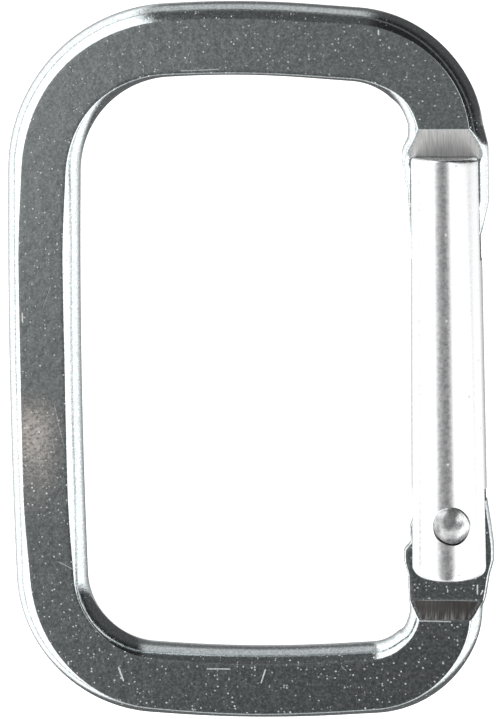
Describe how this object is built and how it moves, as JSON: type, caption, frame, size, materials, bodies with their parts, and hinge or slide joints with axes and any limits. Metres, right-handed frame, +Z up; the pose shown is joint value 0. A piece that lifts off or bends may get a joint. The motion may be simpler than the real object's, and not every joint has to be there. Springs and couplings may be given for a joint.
{
  "type": "snap-gate carabiner",
  "caption": "Flat bent-bar carabiner with an inward-opening round gate on a rivet hinge, closed by a hidden spring.",
  "frame": {"origin": "under the middle of the outline, level with the lowest point, the rivet's tail", "axes": "lies flat: +X from the spine to the gate, +Y from the hinge end to the nose, +Z up through the thickness"},
  "size_m": [0.0536, 0.08, 0.0088],
  "materials": {
    "pressed_aluminium": "pressed bright, fine orange peel, scuffed",
    "turned_aluminium": "smooth drawn and tumbled",
    "rivet_metal": "hammered low dome",
    "spring_steel": "bright drawn wire",
    "pin_brass": "turned"
  },
  "bodies": {
    "bar": {"body_bar": "pressed_aluminium"},
    "gate": {"gate": "turned_aluminium", "hinge_rivet": "rivet_metal", "gate_spring": "spring_steel"},
    "pusher": {"spring_pusher": "pin_brass"}
  },
  "joints": [
    {"name": "gate_swing", "type": "hinge", "parent": "bar", "child": "gate", "pos_m": [0.02181, -0.01725, 0.00435], "axis": [0, 0, 1], "range_deg": [0, 30], "stiffness_Nm_per_rad": 0.08, "springref_deg": -14.32},
    {"name": "pusher_slide", "type": "slide", "parent": "gate", "child": "pusher", "axis": [0, 1, 0], "range_m": [0, 0.00085], "deforming": ["gate_spring"]}
  ],
  "couplings": [
    {"joint": "pusher_slide", "follows": "gate_swing", "m_per_rad": 0.00162}
  ]
}
